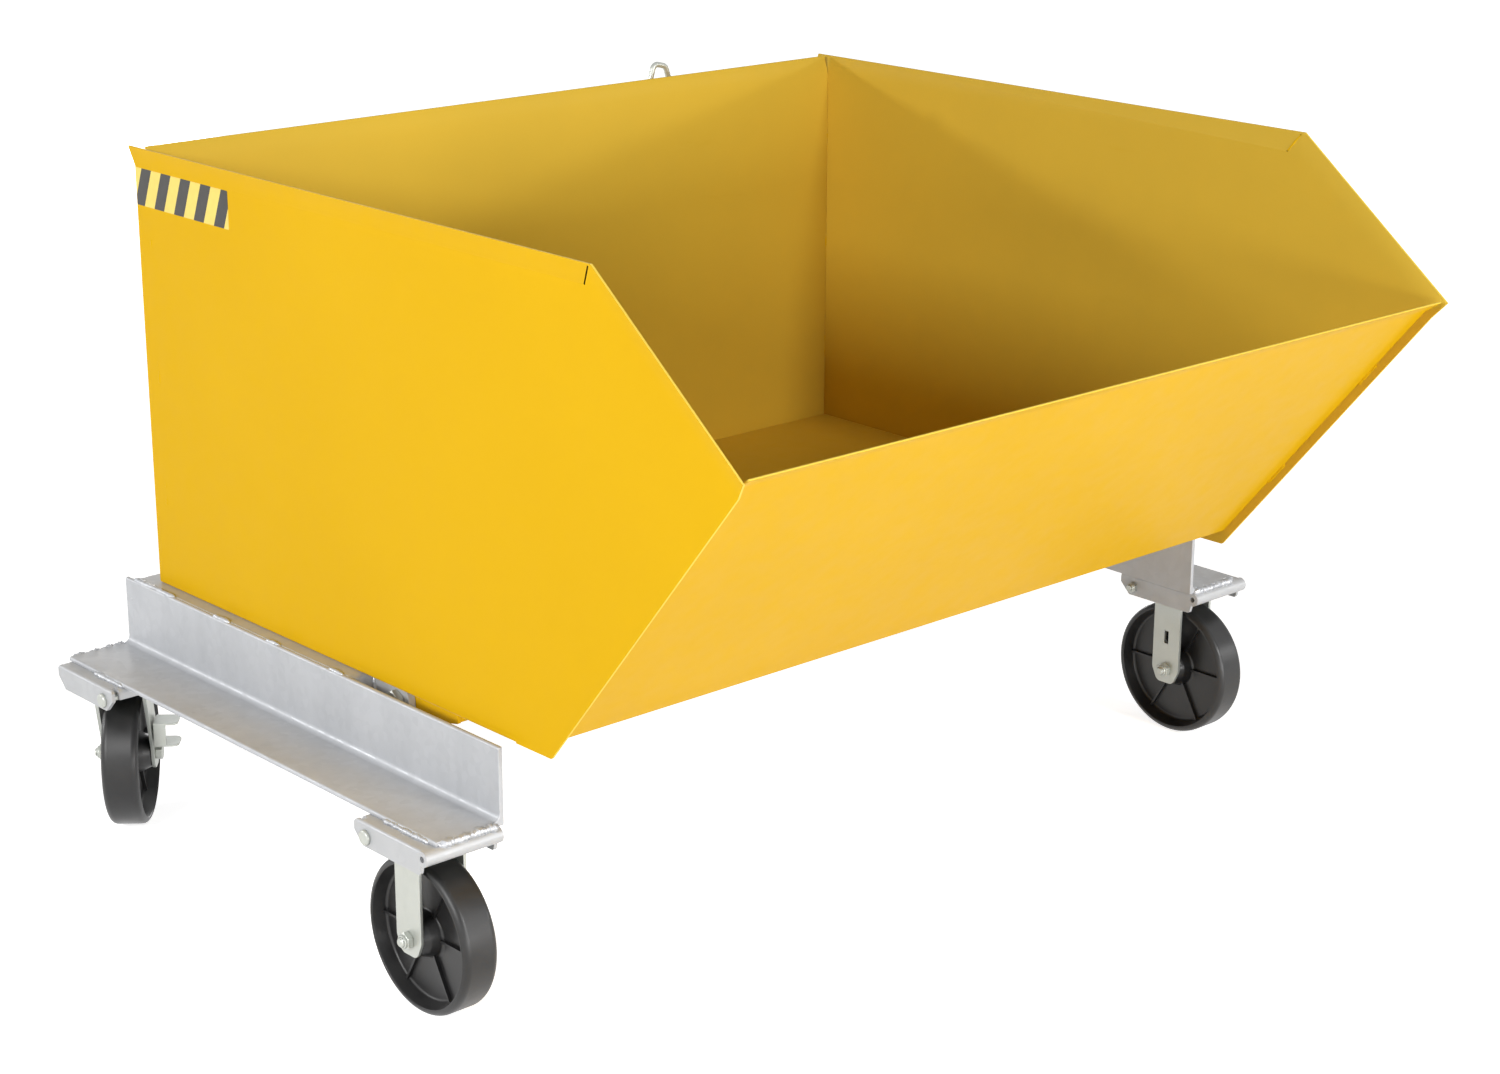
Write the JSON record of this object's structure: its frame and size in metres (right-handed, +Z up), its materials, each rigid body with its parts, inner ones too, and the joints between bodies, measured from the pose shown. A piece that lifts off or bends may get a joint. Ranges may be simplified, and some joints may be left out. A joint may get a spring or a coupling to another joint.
{
  "type": "tipping skip trolley",
  "caption": "Low sheet-steel skip with a sloping dump lip, tipping forward on a galvanised angle-rail base with rigid front casters and braked swivel rear casters.",
  "frame": {"origin": "on the floor, under the middle of the bounding box", "axes": "+X to the trolley's right as seen from its dump side, -Y towards the dumping lip, +Z up"},
  "size_m": [1.538, 1.3264, 0.9785],
  "materials": {
    "bearing_steel": "ground bearing steel",
    "galvanised": "hot-dip galvanised, dull with a faint spangle",
    "tub_paint": "semi-gloss yellow powder coat on sheet steel",
    "wheel_black": "solid black polyolefin, satin",
    "zinc_plate": "bright zinc plating on stamped steel and fasteners"
  },
  "bodies": {
    "base": {"right_rail": "galvanised", "left_rail": "galvanised", "rear_deck": "galvanised", "pivot_cross_tube": "galvanised", "right_pivot_lug": "galvanised", "left_pivot_lug": "galvanised", "right_pivot_bolt": "zinc_plate", "left_pivot_bolt": "zinc_plate", "pivot_nuts": "zinc_plate", "latch_catch": "galvanised", "front_left_caster_pad": "galvanised", "front_right_caster_pad": "galvanised", "rear_left_caster_pad": "galvanised", "rear_right_caster_pad": "galvanised", "pad_bolts": "zinc_plate", "pad_nuts": "zinc_plate", "front_left_fork": "zinc_plate", "front_right_fork": "zinc_plate", "front_axle_bolts": "zinc_plate", "front_axle_nuts": "zinc_plate", "front_axle_sleeves": "bearing_steel", "rear_left_top_plate": "zinc_plate", "rear_left_kingpin": "zinc_plate", "rear_left_kingpin_nut": "zinc_plate", "rear_left_swivel_balls": "bearing_steel", "rear_right_top_plate": "zinc_plate", "rear_right_kingpin": "zinc_plate", "rear_right_kingpin_nut": "zinc_plate", "rear_right_swivel_balls": "bearing_steel"},
    "tub": {"tub_right_side": "tub_paint", "tub_left_side": "tub_paint", "tub_back_wall": "tub_paint", "tub_front_panel": "tub_paint", "tub_floor": "tub_paint", "tub_cross_channel": "tub_paint", "right_pivot_ear": "tub_paint", "left_pivot_ear": "tub_paint", "pivot_bushes": "bearing_steel", "latch_bracket": "zinc_plate", "latch_pin": "zinc_plate"},
    "latch": {"latch_lever": "zinc_plate"},
    "rear_left_swivel": {"rear_left_fork": "zinc_plate", "rear_left_axle_bolt": "zinc_plate", "rear_left_axle_nut": "zinc_plate", "rear_left_axle_sleeve": "bearing_steel", "rear_left_brake_pin": "zinc_plate"},
    "rear_right_swivel": {"rear_right_fork": "zinc_plate", "rear_right_axle_bolt": "zinc_plate", "rear_right_axle_nut": "zinc_plate", "rear_right_axle_sleeve": "bearing_steel", "rear_right_brake_pin": "zinc_plate"},
    "rear_left_brake": {"rear_left_brake_lever": "zinc_plate"},
    "rear_right_brake": {"rear_right_brake_lever": "zinc_plate"},
    "front_left_wheel": {"front_left_wheel": "wheel_black"},
    "front_right_wheel": {"front_right_wheel": "wheel_black"},
    "rear_left_wheel": {"rear_left_wheel": "wheel_black"},
    "rear_right_wheel": {"rear_right_wheel": "wheel_black"}
  },
  "joints": [
    {"name": "tub_tip", "type": "hinge", "parent": "base", "child": "tub", "pos_m": [0, 0.02099, 0.3181], "axis": [1, 0, 0], "range_deg": [0, 55]},
    {"name": "latch_turn", "type": "hinge", "parent": "tub", "child": "latch", "pos_m": [0.277, 0.56549, 0.4661], "axis": [-1, 0, 0], "range_deg": [0, 6.5]},
    {"name": "front_left_roll", "type": "hinge", "parent": "base", "child": "front_left_wheel", "pos_m": [-0.707, -0.18251, 0.1016], "axis": [1, 0, 0], "continuous": true},
    {"name": "front_right_roll", "type": "hinge", "parent": "base", "child": "front_right_wheel", "pos_m": [0.707, -0.18251, 0.1016], "axis": [1, 0, 0], "continuous": true},
    {"name": "rear_left_swivel", "type": "hinge", "parent": "base", "child": "rear_left_swivel", "pos_m": [-0.707, 0.53749, 0.2205], "axis": [0, 0, 1], "continuous": true},
    {"name": "rear_left_roll", "type": "hinge", "parent": "rear_left_swivel", "child": "rear_left_wheel", "pos_m": [-0.67743, 0.57273, 0.1016], "axis": [0.766, -0.6428, 0], "continuous": true},
    {"name": "rear_left_brake_press", "type": "hinge", "parent": "rear_left_swivel", "child": "rear_left_brake", "pos_m": [-0.6863, 0.56216, 0.1381], "axis": [0.766, -0.6428, 0], "range_deg": [0, 20]},
    {"name": "rear_right_swivel", "type": "hinge", "parent": "base", "child": "rear_right_swivel", "pos_m": [0.707, 0.53749, 0.2205], "axis": [0, 0, 1], "continuous": true},
    {"name": "rear_right_roll", "type": "hinge", "parent": "rear_right_swivel", "child": "rear_right_wheel", "pos_m": [0.67743, 0.57273, 0.1016], "axis": [0.766, 0.6428, 0], "continuous": true},
    {"name": "rear_right_brake_press", "type": "hinge", "parent": "rear_right_swivel", "child": "rear_right_brake", "pos_m": [0.6863, 0.56216, 0.1381], "axis": [0.766, 0.6428, 0], "range_deg": [0, 20]}
  ]
}
